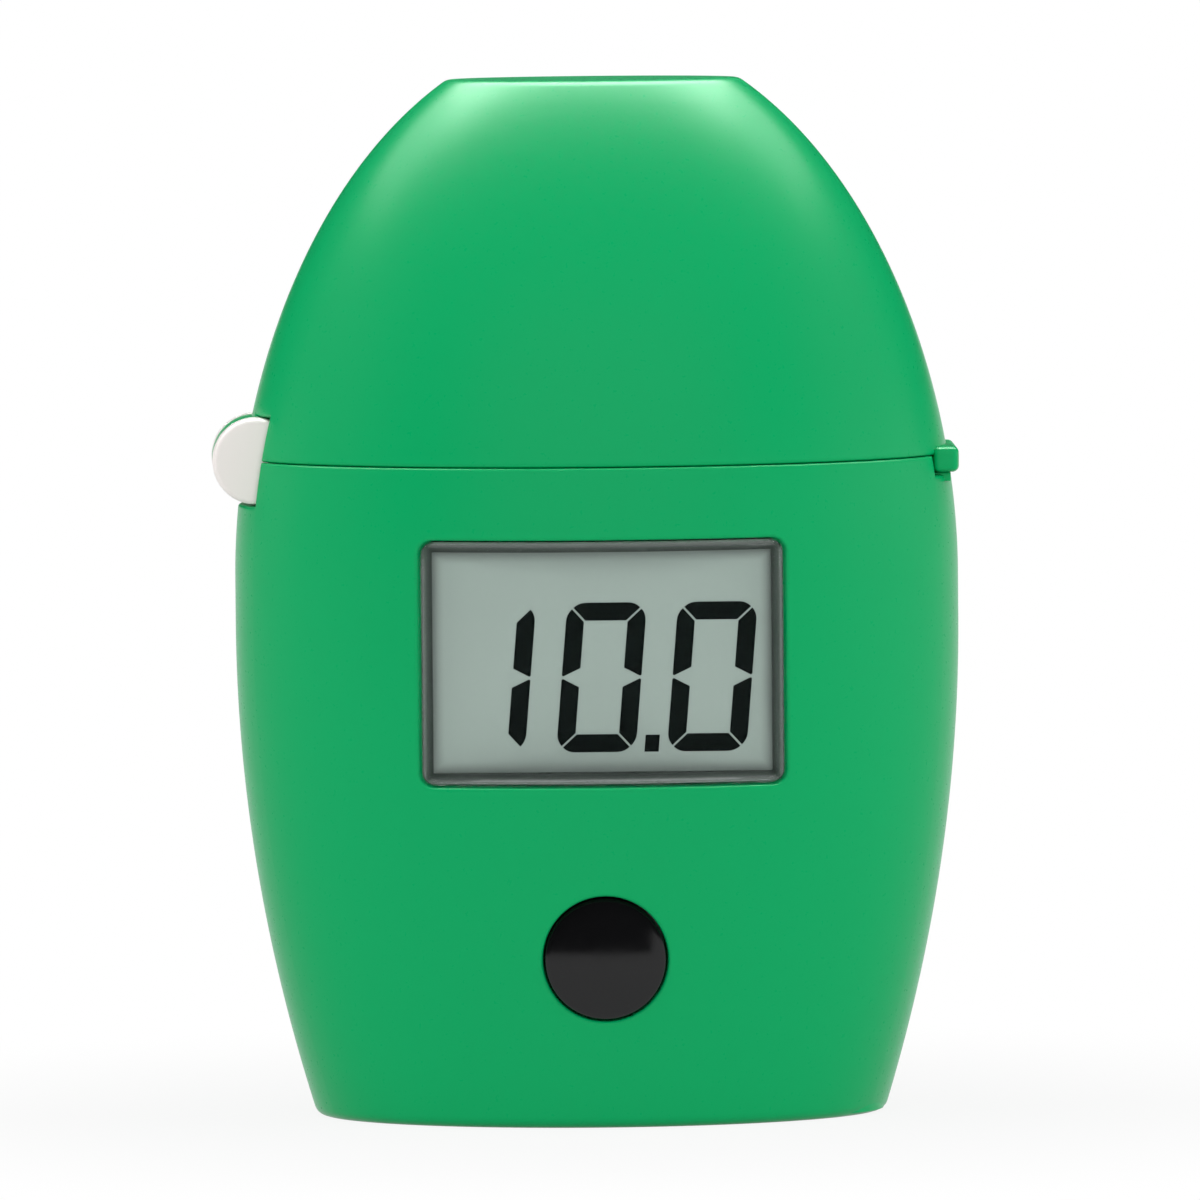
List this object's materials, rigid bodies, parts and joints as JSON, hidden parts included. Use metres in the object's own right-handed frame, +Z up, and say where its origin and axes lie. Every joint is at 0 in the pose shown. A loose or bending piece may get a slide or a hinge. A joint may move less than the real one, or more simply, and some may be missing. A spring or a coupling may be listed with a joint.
{
  "type": "portable colorimeter",
  "caption": "Pocket colorimeter with an egg-shaped casing, side-hinged lid over a round vial well, small display window and one push button.",
  "frame": {"origin": "middle of the flat base, on the surface the instrument stands on", "axes": "+X to the right seen from the front, +Y towards the back, +Z up; the display faces -Y and the lid hinge is on the -X side"},
  "size_m": [0.0618, 0.0375, 0.086],
  "materials": {
    "green_casing": "satin moulded ABS",
    "white_plastic": "satin moulded ABS",
    "black_plastic": "matt black, low reflection",
    "button_black": "polished black",
    "clear_window": "clear polished acrylic",
    "display_glass": "grey-green reflective display",
    "soft_seal": "black closed-cell foam",
    "steel": "zinc plated",
    "contact_metal": "nickel plated spring strip",
    "circuit_board": "solder resist",
    "chip_black": "moulded package",
    "cell_wrap": "printed-film wrap, plain",
    "lamp_epoxy": "clear epoxy",
    "filter_glass": "coated optical glass"
  },
  "bodies": {
    "housing": {"body_shell": "green_casing", "chassis": "white_plastic", "hinge_pin": "steel", "cuvette_holder": "black_plastic", "light_gasket": "soft_seal", "display_window": "clear_window", "lcd_frame": "black_plastic", "lcd_panel": "display_glass", "lcd_pins": "contact_metal", "main_pcb": "circuit_board", "microcontroller": "chip_black", "pcb_components": "chip_black", "tact_switch": "chip_black", "led_lamp": "lamp_epoxy", "bandpass_filter": "filter_glass", "photodetector": "chip_black", "detector_board": "circuit_board", "battery_cell": "cell_wrap", "battery_spring": "contact_metal", "battery_positive_contact": "contact_metal", "battery_negative_strip": "contact_metal", "battery_cover": "green_casing", "battery_cover_screw": "steel", "chassis_screws": "steel", "pcb_screws": "steel"},
    "lid": {"lid_shell": "green_casing", "lid_liner": "black_plastic"},
    "button": {"power_button": "button_black", "switch_plunger": "chip_black"}
  },
  "joints": [
    {"name": "lid_hinge", "type": "hinge", "parent": "housing", "child": "lid", "pos_m": [-0.0283, 0, 0.0547], "axis": [0, -1, 0], "range_deg": [0, 110]},
    {"name": "button_press", "type": "slide", "parent": "housing", "child": "button", "axis": [0, 1, 0], "range_m": [0, 0.0006], "stiffness_N_per_m": 2500}
  ]
}
